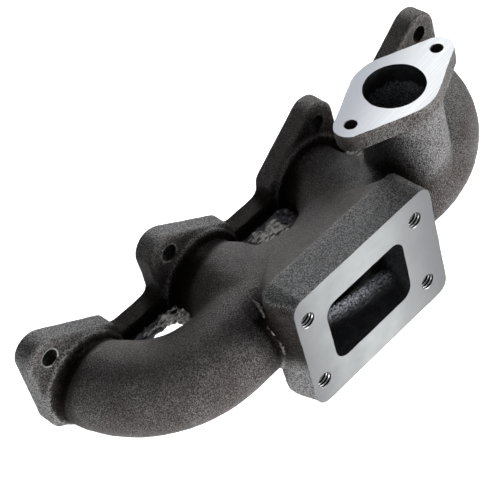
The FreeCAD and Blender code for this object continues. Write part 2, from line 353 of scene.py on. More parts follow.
@dataclass(frozen=True)
class SandCastIron(Iron):
    """Grey iron as it leaves green sand and the shot blaster.

    The grains of the sand leave a fine pebbled skin, coarser where the sand was rammed less. The
    shot blast polishes the arrises. A painted sheen lightens the faces that the lamps reach, and
    painted shade darkens the recesses and the places that lie in shade.
    """

    name: str = "sand_cast_iron"
    # The first two colours are painted shade, and the pale one after grey is a painted sheen.
    recess_shade: str = "#090605"
    recess_shade_grain: str = "#39312d"
    brown: str = "#6f6763"
    grey: str = "#908a8a"
    painted_sheen: str = "#c6c7ca"
    worn: str = "#b9b7b5"
    grain: float = 0.67
    grain_depth: float = 0.90
    pebble: float = 1.1
    pebble_depths: tuple[float, float] = (0.45, 2.2)
    mottle: float = 21.0
    shade_reach: float = 24.0
    rubbing: float = 0.75

    def surface(self, add: Adder, place: Socket) -> dict[str, object]:
        """Mix painted shade, the lit skin with a painted sheen and rubbed crests, grain by grain.

        Args:
            add: adds a node to the material.
            place: the place on the object.

        Returns:
            The surface shader's inputs.
        """
        arris, coarse, painted_light, painted_shade = (add("Attribute", output="Fac", attribute_name=mark)
                                      for mark in SKIN_MARKS)
        noises = ((self.grain, 2.0, 0.6), (self.pebble, 2.5, 0.6), (self.mottle, 3.0, 0.55))
        grain, pebble, mottle = (add("TexNoise", {"Vector": place, "Scale": 1 / (size * MM),
                                                  "Detail": detail, "Roughness": roughness})
                                 for size, detail, roughness in noises)
        scaled = add("ValToRGB", {"Fac": mottle}, stops=[(0.34, self.brown), (0.66, self.grey)])
        # Painted light: the skin's painted light mark mixes in the pale painted sheen.
        ground = add("Mix", {"Factor": painted_light, COLOUR_A: scaled, COLOUR_B: linear(self.painted_sheen)},
                     **COLOURS)
        speck = add("ValToRGB", {"Fac": grain}, stops=[(0.40, "#161616"), (0.50, "#909090"),
                                                       (0.61, "#ffffff")])
        # Painted shade: near-black colours with a little grain, for the places in shade.
        shaded_skin = add("ValToRGB", {"Fac": grain},
                        stops=[(0.50, self.recess_shade), (0.68, self.recess_shade_grain)])
        grained = add("Mix", {"Factor": 1.0, COLOUR_A: ground, COLOUR_B: speck}, **COLOURS,
                      blend_type="MULTIPLY")
        crest = add("MapRange", {"Value": pebble, "From Min": 0.44, "From Max": 0.60})
        worn_arris = add("Math", {0: arris, 1: self.rubbing}, operation="MULTIPLY")
        open_skin = add("Math", {0: coarse, 1: self.rubbing, 2: worn_arris},
                        operation="MULTIPLY_ADD")
        rubbed = add("Math", {0: open_skin, 1: crest}, operation="MULTIPLY", use_clamp=True)
        polished = add("Mix", {"Factor": rubbed, COLOUR_A: grained, COLOUR_B: linear(self.worn)},
                       **COLOURS)
        # Painted shade: occlusion and the shade mark darken the colour and dim the reflection.
        openness = add("AmbientOcclusion", {"Distance": self.shade_reach * MM}, "AO", samples=10)
        reached = add("Math", {0: openness, 1: painted_shade}, operation="SUBTRACT")
        unshaded = add("MapRange", {"Value": reached, "From Min": 0.42, "From Max": 0.95},
                      interpolation_type="SMOOTHSTEP")
        colour = add("Mix", {"Factor": unshaded, COLOUR_A: shaded_skin, COLOUR_B: polished},
                     **COLOURS)
        sheen = add("MapRange", {"Value": unshaded, "To Min": 0.03, "To Max": 0.21})
        shallow, deep = self.pebble_depths
        tall = add("MapRange", {"Value": coarse, "To Min": shallow * MM, "To Max": deep * MM})
        fine = add("Bump", {"Height": grain, "Distance": self.grain_depth * MM, "Strength": 1.0})
        bump = add("Bump", {"Height": pebble, "Distance": tall, "Strength": 0.8, "Normal": fine})
        return {"Base Color": colour, "Metallic": 0.0, "Roughness": 0.45,
                "Specular IOR Level": sheen, "Normal": bump}


@dataclass(frozen=True)
class PassageIron(Iron):
    """The rough inner skin of the runners, coloured near black, with a painted glint on its ridge.
    """

    name: str = "passage_iron"
    dark: str = "#080808"
    light: str = "#4c4f55"
    ridge_glint: str = "#c4c8d0"
    lump: float = 1.1

    def surface(self, add: Adder, place: Socket) -> dict[str, object]:
        """Lump the dark skin, and paint a pale highlight along the crest of the core-sand ridge.

        Args:
            add: adds a node to the material.
            place: the place on the object.

        Returns:
            The surface shader's inputs.
        """
        lump = add("TexNoise", {"Vector": place, "Scale": 1 / (self.lump * MM), "Detail": 5.0,
                                "Roughness": 0.65})
        skin = add("ValToRGB", {"Fac": lump}, stops=[(0.44, self.dark), (0.76, self.light)])
        glint = add("ValToRGB", {"Fac": lump}, stops=[(0.40, self.light), (0.62, self.ridge_glint)])
        # Painted highlight: the painted light mark brightens the ridge crest to a pale glint.
        crest = add("Attribute", output="Fac", attribute_name="painted_light")
        colour = add("Mix", {"Factor": crest, COLOUR_A: skin, COLOUR_B: glint}, **COLOURS)
        bump = add("Bump", {"Height": lump, "Distance": self.lump * MM, "Strength": 1.0})
        return {"Base Color": colour, "Metallic": 0.7, "Roughness": 0.25, "Normal": bump}


@dataclass(frozen=True)
class MilledIron(Iron):
    """A face that a wide milling head has swept: bright, with faint curved tool marks.

    Painted shade darkens it away from the middle of the turbine's mouth.
    """

    name: str = "milled_iron"
    low: str = "#979a9c"
    high: str = "#b3b6b7"
    shade: str = "#707174"
    pitch: float = 1.3
    cloud: float = 14.0
    sweep: Triple = (-14.0, -104.0, -4.0)
    bright_at: float = -10.0
    shade_from: float = 4.0
    shade_to: float = 66.0
    mark_depth: float = 0.008

    def surface(self, add: Adder, place: Socket) -> dict[str, object]:
        """Draw the tool's rings under a soft cloud, with painted shade darker along X.

        Args:
            add: adds a node to the material.
            place: the place on the object.

        Returns:
            The surface shader's inputs.
        """
        centred = add("Mapping", {"Vector": place, "Location": [-k * MM for k in self.sweep]},
                      vector_type="POINT")
        rings = add("TexWave", {"Vector": centred, "Scale": math.tau / 20 / (self.pitch * MM),
                                "Distortion": 1.5, "Detail": 2.0, "Detail Scale": 0.3}, "Fac",
                    wave_type="RINGS", rings_direction="SPHERICAL")
        cloud = add("TexNoise", {"Vector": place, "Scale": 1 / (self.cloud * MM), "Detail": 3.0})
        both = add("Mix", {"Factor": 0.84, NUMBER_A: rings, NUMBER_B: cloud}, data_type="FLOAT")
        swept = add("ValToRGB", {"Fac": both}, stops=[(0.25, self.low), (0.75, self.high)])
        # Painted shade: the colour darkens to the shade colour away from bright_at along X.
        along = add("SeparateXYZ", {"Vector": place}, "X")
        offset = add("Math", {0: along, 1: -self.bright_at * MM}, operation="ADD")
        outward = add("Math", {0: offset}, operation="ABSOLUTE")
        far = add("MapRange", {"Value": outward, "From Min": self.shade_from * MM,
                               "From Max": self.shade_to * MM}, interpolation_type="SMOOTHSTEP")
        colour = add("Mix", {"Factor": far, COLOUR_A: swept, COLOUR_B: linear(self.shade)},
                     **COLOURS)
        rough = add("MapRange", {"Value": both, "To Min": 0.30, "To Max": 0.42})
        bump = add("Bump", {"Height": rings, "Distance": self.mark_depth * MM, "Strength": 0.5})
        return {"Base Color": colour, "Metallic": 0.75, "Roughness": rough, "Normal": bump}


@dataclass(frozen=True)
class GroundIron(Iron):
    """A face finished on a belt, whose grit leaves straight fine scratches all one way.

    A painted reflection makes it brightest at its front right, and it darkens towards the head.
    """

    name: str = "ground_iron"
    low: str = "#cdd0d4"
    high: str = "#e8eaec"
    shade: str = "#9a9da4"
    scratch: float = 0.45
    scratch_length: float = 45.0
    heading: float = 4.0
    bright_way: Triple = (0.35, -0.94, 0.0)
    shade_from: float = 64.0
    shade_to: float = 104.0
    scratch_depth: float = 0.02

    def surface(self, add: Adder, place: Socket) -> dict[str, object]:
        """Draw long scratches at the belt's heading, with a painted reflection brighter one way.

        Args:
            add: adds a node to the material.
            place: the place on the object.

        Returns:
            The surface shader's inputs.
        """
        turn = (0.0, 0.0, math.radians(self.heading))
        turned = add("Mapping", {"Vector": place, "Rotation": turn,
                                 "Scale": (self.scratch_length * MM, self.scratch * MM,
                                           self.scratch * MM)}, vector_type="TEXTURE")
        scratch = add("TexNoise", {"Vector": turned, "Scale": 1.0, "Detail": 3.0,
                                   "Roughness": 0.7})
        rubbed = add("ValToRGB", {"Fac": scratch}, stops=[(0.35, self.low), (0.65, self.high)])
        # Painted reflection: the colour runs from the shade colour to the scratches along one way.
        along = add("VectorMath", {0: place, 1: self.bright_way}, "Value", operation="DOT_PRODUCT")
        far = add("MapRange", {"Value": along, "From Min": self.shade_from * MM,
                               "From Max": self.shade_to * MM}, interpolation_type="SMOOTHSTEP")
        colour = add("Mix", {"Factor": far, COLOUR_A: linear(self.shade), COLOUR_B: rubbed},
                     **COLOURS)
        rough = add("MapRange", {"Value": scratch, "To Min": 0.38, "To Max": 0.48})
        bump = add("Bump", {"Height": scratch, "Distance": self.scratch_depth * MM,
                            "Strength": 0.6})
        return {"Base Color": colour, "Metallic": 0.85, "Roughness": rough, "Normal": bump}


@dataclass(frozen=True)
class DrilledIron(Iron):
    """Fresh metal where a drill, countersink or tap has cut: bright on its lands."""

    name: str = "drilled_iron"
    low: str = "#5c5c5e"
    high: str = "#9c9c9e"
    metallic: float = 0.8
    sheen: float = 0.5
    smear: float = 1.2
    smear_depth: float = 0.05

    def surface(self, add: Adder, place: Socket) -> dict[str, object]:
        """Smear the metal between its two shades.

        Args:
            add: adds a node to the material.
            place: the place on the object.

        Returns:
            The surface shader's inputs.
        """
        smear = add("TexNoise", {"Vector": place, "Scale": 1 / (self.smear * MM), "Detail": 3.0})
        colour = add("ValToRGB", {"Fac": smear}, stops=[(0.35, self.low), (0.65, self.high)])
        bump = add("Bump", {"Height": smear, "Distance": self.smear_depth * MM, "Strength": 0.5})
        return {"Base Color": colour, "Metallic": self.metallic, "Roughness": 0.38,
                "Specular IOR Level": self.sheen, "Normal": bump}


@dataclass(frozen=True)
class TornIron(Iron):
    """The crumbled face where flash has been knocked off the parting line.

    It is pale where the break is fresh. Its near-black copy is painted shade, laid on the webs
    and the flash.
    """

    name: str = "torn_iron"
    low: str = "#1f1d1c"
    high: str = "#c8c6c4"
    crumb: float = 1.7
    drawn_out: float = 2.4
    crumb_depth: float = 1.4

    def surface(self, add: Adder, place: Socket) -> dict[str, object]:
        """Draw crumbs that are longer along the parting line.

        Args:
            add: adds a node to the material.
            place: the place on the object.

        Returns:
            The surface shader's inputs.
        """
        drawn = add("Mapping", {"Vector": place, "Scale": (self.drawn_out * self.crumb * MM,
                                                           self.crumb * MM, self.crumb * MM)},
                    vector_type="TEXTURE")
        crumb = add("TexNoise", {"Vector": drawn, "Scale": 1.0, "Detail": 3.0, "Roughness": 0.6})
        colour = add("ValToRGB", {"Fac": crumb}, stops=[(0.38, self.low), (0.56, self.high)])
        bump = add("Bump", {"Height": crumb, "Distance": self.crumb_depth * MM, "Strength": 1.0})
        return {"Base Color": colour, "Metallic": 0.4, "Roughness": 0.45, "Normal": bump}


# The machining: tools that cut the faces, holes and threads

@dataclass(frozen=True)
class Hole:
    """One round hole, from the middle of its mouth along the way that a drill goes in."""

    mouth: Vector
    inward: Vector
    radius: float
    depth: float
    rim: float
    through: bool = False
    clear: float = 3 * MM
    rim_lift: float = 0.5 * MM

    def tool(self, radius: float, tip_radius: float, outside: float, depth: float) -> Piece:
        """A cone or cylinder that lies on the hole's axis.

        Args:
            radius: its radius at the mouth's side.
            tip_radius: its radius at the deep end.
            outside: how far it starts outside the mouth.
            depth: how far it goes in from the mouth.

        Returns:
            The tool, as an object with its place in its mesh.
        """
        return primitive("cone", vertices=40, radius1=radius, radius2=tip_radius,
                         depth=outside + depth,
                         location=self.mouth + self.inward * (depth - outside) / 2,
                         rotation=self.inward.to_track_quat("Z", "Y").to_euler())

    def plug(self, margin: float, outside: float, beyond: float) -> Piece:
        """A plug that closes the hole and its rim before the skin is drawn.

        Args:
            margin: how much wider the plug is than the hole.
            outside: how far the plug stands out of the mouth.
            beyond: how far it goes on past the hole's depth.

        Returns:
            The plug.
        """
        wide = self.radius + margin
        return self.tool(wide, wide, outside, self.depth + beyond)

    def bore_tool(self) -> Piece:
        """The drill, which comes out clear of the far side of a through hole."""
        return self.tool(self.radius, self.radius, self.clear,
                         self.depth + (self.clear if self.through else 0.0))

    def rim_tool(self) -> Piece:
        """The shallow countersink, which starts a little outside so that it cuts clean."""
        return self.tool(self.radius + self.rim + self.rim_lift * RIM_SLOPE, self.radius,
                         self.rim_lift, self.rim / RIM_SLOPE)


@dataclass(frozen=True)
class Thread:
    """A tapped thread on a hole."""

    hole: Hole
    pitch: float
    height: float
    weld: float = 0.02 * MM
    lead_in: float = 1.7

    def tool(self) -> Piece:
        """The tap: a helical ridge that a screw sweep draws round the hole's axis.

        Returns:
            The tap, a closed mesh that reaches outside the mouth.
        """
        mesh = bpy.data.meshes.new("tap")
        corners = ((0, 0), (0.5, 0.22), (1, 0.44), (1, 0.56), (0.5, 0.78), (0, 1))
        profile = [(self.hole.radius + share * self.height, 0, place * self.pitch)
                   for share, place in corners]
        mesh.from_pydata(profile, [(k, k + 1) for k in range(len(profile) - 1)], [])
        tap = bpy.data.objects.new("tap", mesh)
        bpy.context.scene.collection.objects.link(tap)
        apply_modifier(tap, "SCREW", axis="Z", angle=math.tau, screw_offset=self.pitch,
                       iterations=int(self.hole.depth / self.pitch) + 2, steps=32,
                       render_steps=32, use_merge_vertices=True, merge_threshold=self.weld)
        with editing(tap):
            bpy.ops.mesh.remove_doubles(threshold=self.weld)
            bpy.ops.mesh.fill_holes(sides=0)
            bpy.ops.mesh.quads_convert_to_tris()
            bpy.ops.mesh.normals_make_consistent(inside=False)
        start = self.hole.mouth - self.hole.inward * self.pitch * self.lead_in
        turn = self.hole.inward.to_track_quat("Z", "Y").to_matrix().to_4x4()
        tap.data.transform(Matrix.Translation(start) @ turn)
        return tap


@dataclass
class Machining:
    """Every machined face and hole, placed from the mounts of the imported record."""

    record: dict
    stock: float = 6 * MM
    stud_rim: float = 0.65 * MM
    thread_rim: float = 0.5 * MM
    plug_margin: float = 1.4 * MM
    blind_end: float = 1.5 * MM
    turbine_pitch: float = 1.9 * MM
    turbine_height: float = 0.9 * MM
    gate_pitch: float = 1.25 * MM
    gate_height: float = 0.6 * MM
    turbine_depth: float = 18 * MM
    gate_depth: float = 11 * MM
    stud_depth: float = 12.5 * MM
    mill_wide: float = 0.2
    mill_tall: float = 0.06
    gate_mill: Pairs = ((0.02, -0.10), (0.14, -0.02))
    studs: list[Hole] = field(default_factory=list)
    tapped: list[Thread] = field(default_factory=list)

    def __post_init__(self) -> None:
        """Place every hole."""
        for word in ("upper_outer", "upper_inner", "lower_outer", "lower_inner"):
            for mouth, radius in self.holes_of("head_studs_" + word):
                mouth.y = -self.stud_depth
                self.studs.append(Hole(mouth, Vector((0, 1, 0)), radius, self.stud_depth,
                                       self.stud_rim, through=True))
        for mouth, radius in self.holes_of("turbine_bolts"):
            mouth.y = self.plane("turbine_face")
            hole = Hole(mouth, Vector((0, 1, 0)), radius, self.turbine_depth, self.thread_rim)
            self.tapped.append(Thread(hole, self.turbine_pitch, self.turbine_height))
        for mouth, radius in self.holes_of("gate_bolts"):
            mouth.z = self.plane("gate_face")
            hole = Hole(mouth, Vector((0, 0, -1)), radius, self.gate_depth, self.thread_rim)
            self.tapped.append(Thread(hole, self.gate_pitch, self.gate_height))

    def holes(self) -> list[Hole]:
        """Every hole, the tapped ones last."""
        return self.studs + [thread.hole for thread in self.tapped]

    def mount(self, name: str) -> dict:
        """One mount of the record."""
        return next(m for m in self.record["mounts"] if m["name"] == name)

    def plane(self, name: str) -> float:
        """How far along its own axis a flat face lies."""
        mount = self.mount(name)
        return next(p for p, a in zip(mount["pos_m"], mount["axis"]) if abs(a) > 0.5)

    def holes_of(self, name: str) -> list[tuple[Vector, float]]:
        """The holes of a bolt pattern.

        Args:
            name: the mount's name.

        Returns:
            Each hole's place on the pattern's plane and its radius.
        """
        mount = self.mount(name)
        across = [k for k in range(3) if abs(mount["axis"][k]) < 0.5]
        dims = mount["dims"]
        first = dims.get("spacing_x_mm", 0) * MM / 2
        second = dims.get("spacing_y_mm", 0) * MM / 2
        places = []
        for a in (-1, 1):
            for b in ((-1, 1) if second else (0,)):
                place = Vector(mount["pos_m"])
                place[across[0]] += a * first
                place[across[1]] += b * second
                places.append((place, dims["hole_r_mm"] * MM))
        return places

    def plugs(self) -> list[Piece]:
        """Plug every hole, out to the stock that is left on the faces.

        Returns:
            The plugs.
        """
        made = [hole.plug(self.plug_margin, 0.0, self.stock) for hole in self.studs]
        for thread in self.tapped:
            beyond = 0.0 if thread.hole.inward.z < -0.5 else self.blind_end
            made.append(thread.hole.plug(self.plug_margin, self.stock, beyond))
        return made

    def facing_tools(self) -> list[Piece]:
        """Make the blocks that stand for the metal milled off each face.

        Returns:
            One block a face.
        """
        turbine, gate = self.plane("turbine_face"), self.plane("gate_face")
        wide, tall, away = self.mill_wide, self.mill_tall, 2 * self.stock
        near, far = self.gate_mill
        spans = (((-wide, turbine - away, -tall), (wide, turbine, tall)),
                 ((*near, gate), (*far, gate + away)),
                 ((-wide, 0.0, -tall), (wide, away, tall)))
        return [primitive("cube", size=1, location=(Vector(low) + Vector(high)) / 2,
                          scale=Vector(high) - Vector(low)) for low, high in spans]

    def cut(self, casting: Piece, tools: list[Piece], name: str) -> None:
        """Cut tools that don't touch each other out of the casting.

        Args:
            casting: the casting.
            tools: the tools, which are used up.
            name: what the cut is, for the log.
        """
        tool = join(tools, "tool_" + name)
        apply_modifier(casting, "BOOLEAN", operation="DIFFERENCE", solver="MANIFOLD", object=tool)
        bpy.data.objects.remove(tool)
        LOG.info("cut %s: %d faces", name, len(casting.data.polygons))


# The casting

@dataclass
class Casting:
    """The manifold's one iron casting."""

    node: Piece
    machining: Machining
    # The forms that the skin gets on top of its solid
    voxel: float = 1.0 * MM
    general_smooth: int = 4
    valley_smooth: int = 60
    valley_radius: float = 11 * MM
    valley_rounds: int = 9
    valley_gain: float = 0.62
    kept_sharp: float = 0.65
    weight_steps: int = 20
    swell_gain: float = 1.4
    swell_inset: float = 2 * MM
    lip_radius: float = 26.6 * MM
    lip_tube: float = 1.6 * MM
    lip_place: float = -13.6 * MM
    groove_deep: float = 4.4 * MM
    groove_least: float = 0.30
    groove_ring: Band = Band(21.2, 22.2, 26.8, 28.2)
    groove_floor: float = 21.4 * MM
    groove_runs: tuple[float, ...] = (10, 15, 30, 15)
    seam_wide: float = 30 * MM
    seam_has: float = 14 * MM
    ridge_high: float = 6.0 * MM
    ridge_place: float = -80.4 * MM
    ridge_middle: float = -4 * MM
    ridge_slant: float = 0.24
    ridge_wide: float = 4.5 * MM
    ridge_crest: float = 3.5 * MM
    ridge_floor: Band = Band(-26, -24.5, -17, -12)
    ridge_length: Band = Band(-36, -30, 20, 27)
    crown_step: float = 1.6 * MM
    crown_run: Band = Band(-80.9, -80.1, -79, -64)
    end_flare: float = 3.0 * MM
    flare_run: Band = Band(-103, -88, -86, -78)
    tear_back: float = 1.8
    tear_ripple: float = 0.5
    tear_pitch: float = 1.3
    tear_length: Band = Band(-99, -94, -75.5, -73)
    tear_depth: Band = Band(-29, -27.5, -19, -15)
    sand_waves: Pairs = ((9.0, 0.50), (3.0, 0.22))
    weld: float = 0.004 * MM
    most_faces: int = 150_000
    sharp_angle: float = 38.0
    # The solid's own sizes, by which the zones of the skin are found
    port_pitch: float = 88 * MM
    bends: tuple[tuple[float, float] | None, ...] = ((10 * MM, 54 * MM), None, None,
                                                     (4 * MM, 60 * MM))
    stud_way: tuple[float, float] = (-15.0, 31.0)
    log_out: float = 64 * MM
    log_reach: float = 78 * MM
    log_radius: float = 25.5 * MM
    branch_radius: float = 24.5 * MM
    log_bore: float = 20.5 * MM
    branch_bore: float = 19.5 * MM
    gate_bore: float = 19 * MM
    mouth_half: tuple[float, float] = (31.5 * MM, 23 * MM)
    mouth_back: float = -60 * MM
    web_level: float = -2.0 * MM
    block_top: float = 45 * MM
    # How strongly each zone takes painted light, coarse grain or painted shade
    pads_painted_light: float = 0.75
    neck_painted_light: float = 0.6
    neck_coarse: float = 0.45
    gate_coarse: float = 0.30
    end_coarse: float = 1.3
    end_painted_shade: float = 0.34
    strap_painted_shade: float = 0.58
    second_painted_shade: float = 0.08
    third_painted_shade: float = 0.18
    groove_painted_shade: float = 0.5
    first_groove_painted_shade: float = 0.28
    lee_painted_shade: float = 0.6
    arris_from: float = 0.06
    arris_span: float = 0.14
    arris_clears: float = 0.7
    piece: Piece = None

    def build(self) -> Piece:
        """Make the casting from its solid.

        Returns:
            The finished piece.
        """
        self.copy_node()
        self.leave_stock()
        self.piece = join([self.piece] + self.lips() + self.machining.plugs(), "casting")
        draw_skin(self.piece, self.voxel)
        LOG.info("skin: %d faces", len(self.piece.data.polygons))
        self.widen_seams()
        self.soften()
        self.part_block()
        self.sink_grooves()
        self.raise_ridge()
        self.tear_web()
        roughen(self.piece, self.sand_waves, 1)
        self.thin_out()
        self.hold_size()
        self.machine()
        self.finish_faces()
        return self.piece

    def ports(self) -> list[float]:
        """Each port's place along X."""
        return [self.port_pitch * (k - 1.5) for k in range(4)]

    def normals(self) -> Rows:
        """The skin's normal at each vertex, one row each."""
        return rows_of(self.piece.data.vertices, "normal").astype(float)

    # The skin's forms, in the order of build

    def copy_node(self) -> None:
        """Copy the solid's mesh and merge its loose triangles."""
        self.piece = bpy.data.objects.new("casting", self.node.data.copy())
        bpy.context.scene.collection.objects.link(self.piece)
        with editing(self.piece):
            bpy.ops.mesh.remove_doubles(threshold=0.005 * MM)
        self.piece.data.materials.clear()

    def leave_stock(self) -> None:
        """Draw each machined face outwards, as a casting carries metal for the mill."""
        stock = self.machining.stock
        points = points_of(self.piece)
        near = 2 * FLAT
        points[:, 1] -= stock * (points[:, 1] < self.machining.plane("turbine_face") + near)
        points[:, 2] += stock * (points[:, 2] > self.machining.plane("gate_face") - near)
        points[:, 1] += stock * (points[:, 1] > -near)
        set_points(self.piece, points)

    def lips(self) -> list[Piece]:
        """Rings of metal that stand on each pad round its runner."""
        return [primitive("torus", location=(x, self.lip_place, 0), rotation=(math.pi / 2, 0, 0),
                          major_segments=96, minor_segments=16, major_radius=self.lip_radius,
                          minor_radius=self.lip_tube) for x in self.ports()]

    def widen_seams(self) -> None:
        """Swell the valley between the log and its two middle runners to its full blend."""
        points = points_of(self.piece)
        x, y, z = points.T
        out_of_log = np.maximum(np.hypot(y + self.log_out, z), 1e-6)
        grow = np.zeros(len(points))
        for port in self.ports()[1:3]:
            reach = np.maximum(np.hypot(x - port, z), 1e-6)
            alike = (z / out_of_log) * (z / reach)
            apart = abs((out_of_log - self.log_radius) - (reach - self.branch_radius))
            swell = (self.seam_wide / 4 * np.clip(1 - apart / self.seam_wide, 0, 1) ** 2
                     - self.seam_has / 4 * np.clip(1 - apart / self.seam_has, 0, 1) ** 2)
            outside = ((out_of_log > self.log_radius - self.swell_inset)
                       & (reach > self.branch_radius - self.swell_inset))
            grow = np.maximum(grow, swell * outside
                              * np.clip(self.swell_gain * (1 - alike), 0, 1))
        between = (fall(26, 46, abs(x)) * Band(-66, -58, -24, -16).share(y)
                   * rise(4, 9, abs(z - self.web_level)))
        set_points(self.piece, points + self.normals() * (grow * between)[:, None])

    def soften(self) -> None:
        """Round every edge a little and every valley much more, as a mould's fillets do."""
        points = points_of(self.piece)
        lip, block = self.near_lip(points), self.near_block(points)
        flange = rise(-15, -14, points[:, 1])
        self.smooth("all_over", 1 - self.kept_sharp * np.maximum.reduce([lip, block, flange]),
                    self.general_smooth)
        hollow, both, count = self.hollowness(points_of(self.piece))
        valley = (hollow > 1 / self.valley_radius).astype(float)
        for _ in range(self.valley_rounds):
            spread = np.bincount(both[:, 0], valley[both[:, 1]], len(hollow)) / count
            valley = np.clip(0.5 * valley + self.valley_gain * spread, 0, 1)
        self.smooth("valleys", valley * (1 - np.maximum(lip, block)), self.valley_smooth)
        self.piece.vertex_groups.clear()

    def smooth(self, name: str, weights: Rows, rounds: int) -> None:
        """Smooth the skin by a vertex group of weights, in even steps.

        Args:
            name: the group's name.
            weights: one weight for each vertex.
            rounds: how many times the skin is smoothed.
        """
        group = self.piece.vertex_groups.new(name=name)
        steps = np.rint(weights * self.weight_steps).astype(int)
        for step in range(1, self.weight_steps + 1):
            chosen = np.nonzero(steps == step)[0]
            if len(chosen):
                group.add(chosen.tolist(), step / self.weight_steps, "REPLACE")
        apply_modifier(self.piece, "SMOOTH", factor=0.5, iterations=rounds, vertex_group=name)

    def hollowness(self, points: Rows) -> tuple[Rows, Rows, Rows]:
        """Measure how hollow the skin is at each vertex.

        Args:
            points: the vertices' places.

        Returns:
            Each vertex's curvature in 1/m, above 0 in a valley, each edge's two ends both ways
            round, and each vertex's count of edges.
        """
        normals = self.normals()
        edges = np.empty(len(self.piece.data.edges) * 2, np.int32)
        self.piece.data.edges.foreach_get("vertices", edges)
        edges = edges.reshape(-1, 2)
        both = np.concatenate([edges, edges[:, ::-1]])
        count = np.maximum(np.bincount(both[:, 0], minlength=len(points)), 1)
        step = points[both[:, 1]] - points[both[:, 0]]
        lift = (step * normals[both[:, 0]]).sum(1) / np.maximum((step * step).sum(1), 1e-12)
        return 2 * np.bincount(both[:, 0], lift, len(points)) / count, both, count

    def part_block(self) -> None:
        """Set the collector's crown off from the block's top, and flare the block's near end."""
        points = points_of(self.piece)
        x, y, z = points.T
        crown = rise(18, 26, z) * (z < self.block_top) * (x > -62 * MM) * (x < 58 * MM)
        points[:, 2] -= self.crown_step * self.crown_run.share(y) * crown
        flare = fall(-54, -50, x) * self.flare_run.share(y) * (x > -64 * MM)
        points[:, 0] -= self.end_flare * flare
        set_points(self.piece, points)

    def sink_grooves(self) -> None:
        """Sink each runner behind its lip, deepest beside the two studs."""
        points = points_of(self.piece)
        set_points(self.piece, points + self.groove(points))

    def groove(self, points: Rows) -> Rows:
        """How far the groove behind each lip sinks the skin at each point.

        Args:
            points: the places on the skin.

        Returns:
            One step a point.
        """
        step = np.zeros_like(points)
        behind = self.lip_place - self.lip_tube - points[:, 1]
        stud = Vector(self.stud_way).normalized()
        for port, run, turning in zip(self.ports(), self.groove_runs, self.bends):
            turn_from, bend = turning or (0, 0)
            past = np.clip(-points[:, 1] - turn_from, 0, None)
            drift = bend - np.sqrt(np.clip(bend * bend - past * past, 0, None)) if bend else 0
            hand = 1 if port < 0 else -1
            side, up = points[:, 0] - (port + hand * drift), points[:, 2]
            reach = np.maximum(np.hypot(side, up), 1e-6)
            facing = abs(side * hand * stud.x + up * stud.y) / reach
            deep = self.groove_deep * (self.groove_least + (1 - self.groove_least) * facing ** 2)
            near = Band(-0.9, 0.9, 1.5, run).share(behind) * self.groove_ring.share(reach)
            sink = np.minimum(deep * near, np.clip(reach - self.groove_floor, 0, None))
            step[:, 0] -= side / reach * sink
            step[:, 2] -= up / reach * sink
        return step

    def raise_ridge(self) -> None:
        """Raise the ridge of core sand across the floor of the turbine mouth."""
        points = points_of(self.piece)
        points[:, 2] += self.ridge_high * self.ridge(points, self.ridge_wide)
        set_points(self.piece, points)

    def ridge(self, points: Rows, wide: float) -> Rows:
        """How much each point belongs to the ridge of core sand, from 0 to 1.

        Args:
            points: the places on the skin.
            wide: how far the ridge reaches to each side of its crest.

        Returns:
            One share a point.
        """
        x, y, z = points.T
        place = self.ridge_place - self.ridge_slant * (x - self.ridge_middle)
        across = np.exp(-((y - place) / wide) ** 2)
        return across * self.ridge_floor.share(z) * self.ridge_length.share(x)

    def tear_web(self) -> None:
        """Break the edge of the web beside the first window back to where it tore."""
        points = points_of(self.piece)
        x, y, z = points.T
        web = (abs(z - self.web_level) < 5 * MM) & (y < -14 * MM)
        ripple = self.tear_ripple * np.sin(x / (self.tear_pitch * MM))
        back = (self.tear_back + rise(-84, -78, x) + ripple) * MM
        share = self.tear_length.share(x) * self.tear_depth.share(y)
        points[:, 1] += np.where(web, share * back, 0)
        set_points(self.piece, points)

    def thin_out(self) -> None:
        """Bring the skin down to fewer triangles, where it is flat first."""
        faces = 2 * len(self.piece.data.polygons)
        if faces > self.most_faces:
            apply_modifier(self.piece, "DECIMATE", decimate_type="COLLAPSE",
                           ratio=self.most_faces / faces)
        LOG.info("thinned: %d faces", len(self.piece.data.polygons))

    def hold_size(self) -> None:
        """Hold the rough skin to the solid's own width and depth."""
        low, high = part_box(NODE)
        points = points_of(self.piece)
        slack = 0.02 * MM
        points[:, 0] = np.clip(points[:, 0], low.x + slack, high.x - slack)
        points[:, 2] = np.maximum(points[:, 2], low.z + slack)
        set_points(self.piece, points)

    def machine(self) -> None:
        """Mill the faces, then drill, countersink and tap the holes."""
        work = self.machining
        work.cut(self.piece, work.facing_tools(), "faces")
        work.cut(self.piece, [h.bore_tool() for h in work.studs]
                 + [t.tool() for t in work.tapped], "holes")
        work.cut(self.piece, [hole.rim_tool() for hole in work.holes()], "rims")
        with editing(self.piece):
            bpy.ops.mesh.remove_doubles(threshold=self.weld)
            bpy.ops.mesh.dissolve_degenerate(threshold=self.weld)
            bpy.ops.mesh.delete_loose(use_verts=True, use_edges=True, use_faces=False)

    # The finish of each face, and the marks that the skin carries for it

